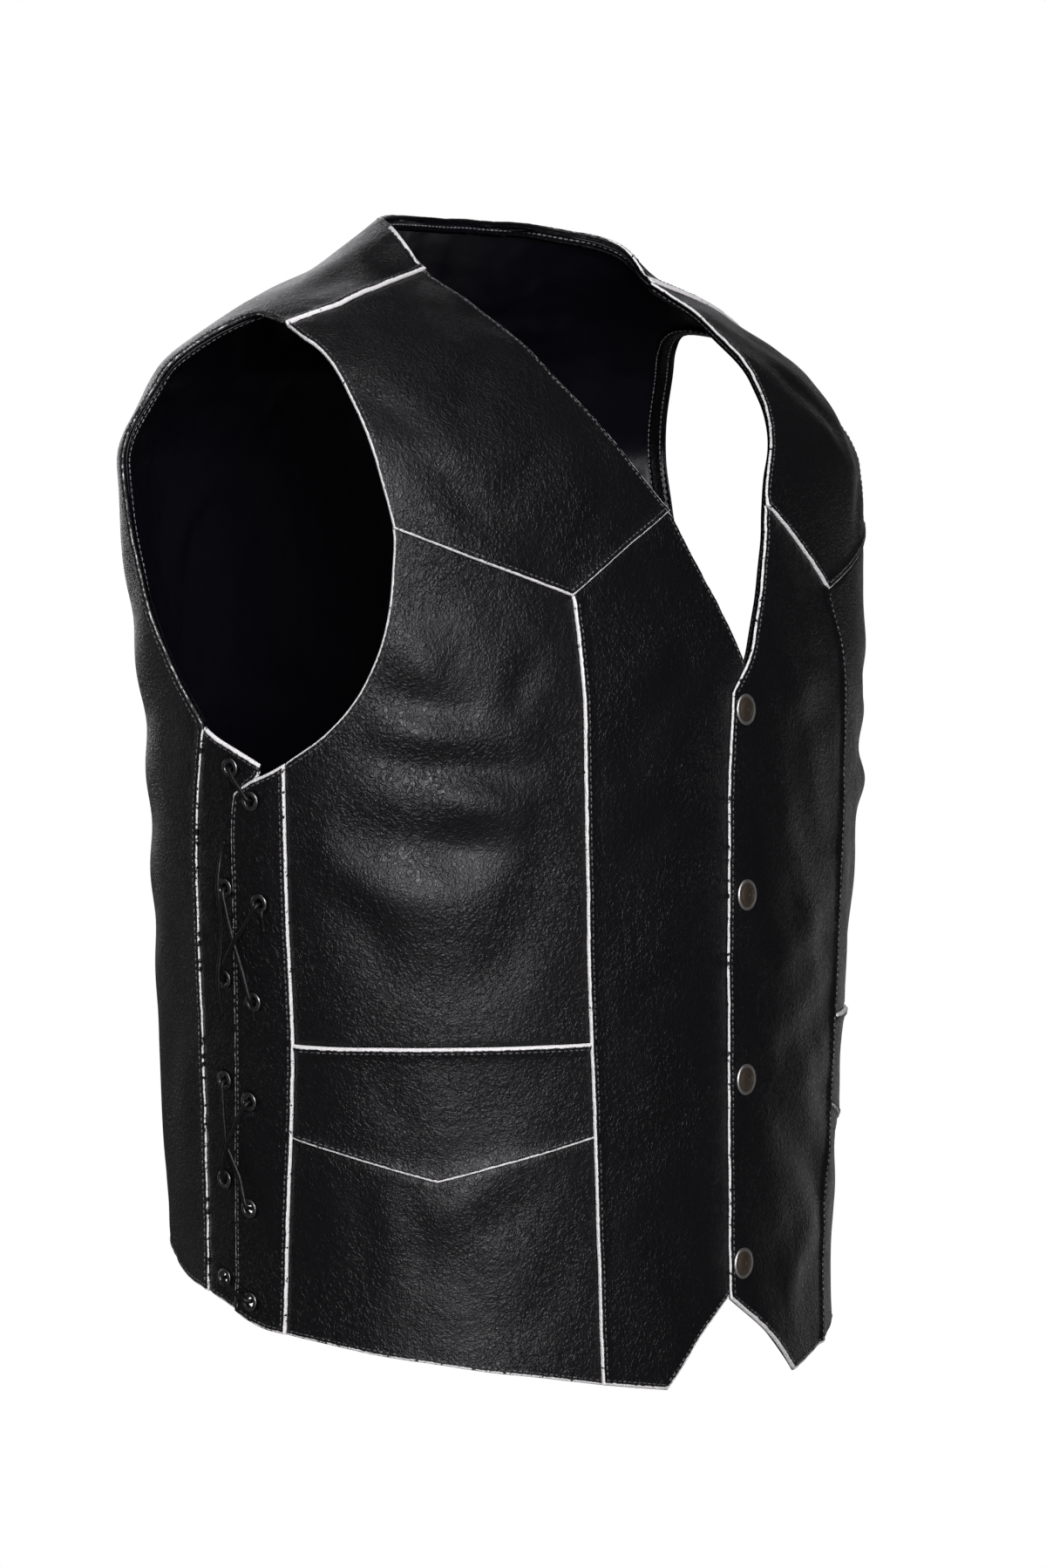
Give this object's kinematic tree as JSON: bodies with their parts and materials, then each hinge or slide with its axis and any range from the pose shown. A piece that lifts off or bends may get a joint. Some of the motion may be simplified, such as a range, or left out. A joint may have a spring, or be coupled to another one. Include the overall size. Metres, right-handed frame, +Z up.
{
  "type": "leather vest",
  "caption": "Sleeveless leather vest with a V neck, snap front, pointed hem, front yokes, pocket bands and laced sides, in its worn shape and empty inside.",
  "frame": {"origin": "middle between the shoulders, at the level where the wearer's shoulders carry the vest", "axes": "+X to the wearer's left, -Y to the front, +Z up"},
  "size_m": [0.4906, 0.3223, 0.6366],
  "materials": {
    "leather": "black pebbled leather with rubbed pale edges",
    "lining": "black satin",
    "lace": "smooth black leather cord",
    "snap": "antique brass, rubbed bright at the rim",
    "eyelet": "dark gun metal"
  },
  "bodies": {
    "root": {"back_panel": "leather", "front_yoke_right": "leather", "front_yoke_left": "leather", "side_front_upper_right": "leather", "side_front_upper_left": "leather", "pocket_band_right": "leather", "pocket_band_left": "leather", "side_front_lower_right": "leather", "side_front_lower_left": "leather", "centre_front_right": "leather", "centre_front_left": "leather", "lace_panel_front_right": "leather", "lace_panel_front_left": "leather", "lace_panel_back_right": "leather", "lace_panel_back_left": "leather", "back_lining": "lining", "front_lining_right": "lining", "front_lining_left": "lining", "neck_facing_back": "leather", "neck_facing_right": "leather", "neck_facing_left": "leather", "armhole_facing_right": "leather", "armhole_facing_left": "leather", "eyelet_front_right_1": "eyelet", "eyelet_front_right_2": "eyelet", "eyelet_front_right_3": "eyelet", "eyelet_front_right_4": "eyelet", "eyelet_front_right_5": "eyelet", "eyelet_front_right_6": "eyelet", "eyelet_front_left_1": "eyelet", "eyelet_front_left_2": "eyelet", "eyelet_front_left_3": "eyelet", "eyelet_front_left_4": "eyelet", "eyelet_front_left_5": "eyelet", "eyelet_front_left_6": "eyelet", "eyelet_back_right_1": "eyelet", "eyelet_back_right_2": "eyelet", "eyelet_back_right_3": "eyelet", "eyelet_back_right_4": "eyelet", "eyelet_back_right_5": "eyelet", "eyelet_back_right_6": "eyelet", "eyelet_back_left_1": "eyelet", "eyelet_back_left_2": "eyelet", "eyelet_back_left_3": "eyelet", "eyelet_back_left_4": "eyelet", "eyelet_back_left_5": "eyelet", "eyelet_back_left_6": "eyelet", "lace_right": "lace", "lace_left": "lace", "lace_tail_right": "lace", "lace_tail_left": "lace", "snap_cap_1": "snap", "snap_stud_1": "eyelet", "snap_cap_2": "snap", "snap_stud_2": "eyelet", "snap_cap_3": "snap", "snap_stud_3": "eyelet", "snap_cap_4": "snap", "snap_stud_4": "eyelet"}
  },
  "joints": []
}
